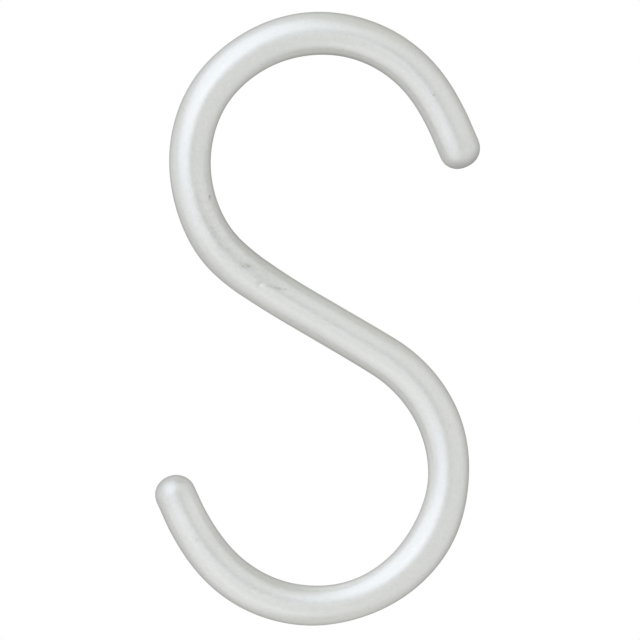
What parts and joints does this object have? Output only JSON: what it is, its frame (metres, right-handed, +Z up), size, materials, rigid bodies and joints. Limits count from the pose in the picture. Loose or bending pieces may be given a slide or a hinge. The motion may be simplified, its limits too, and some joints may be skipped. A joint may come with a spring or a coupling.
{
  "type": "s hook",
  "caption": "S-shaped hook bent from round rod, with facing open loops joined by a straight slanting spine, and rounded ends.",
  "frame": {"origin": "rail seat: the highest point of the upper loop's inside, in the middle of the rod's thickness", "axes": "+Z up as the hook hangs; the S lies in the XZ plane and reads as a letter S seen along +Y, with the upper loop's mouth towards +X; Y is across the rod"},
  "size_m": [0.0384, 0.005, 0.0723],
  "materials": {
    "satin_aluminium": "satin"
  },
  "bodies": {
    "root": {"hook": "satin_aluminium"}
  },
  "joints": []
}
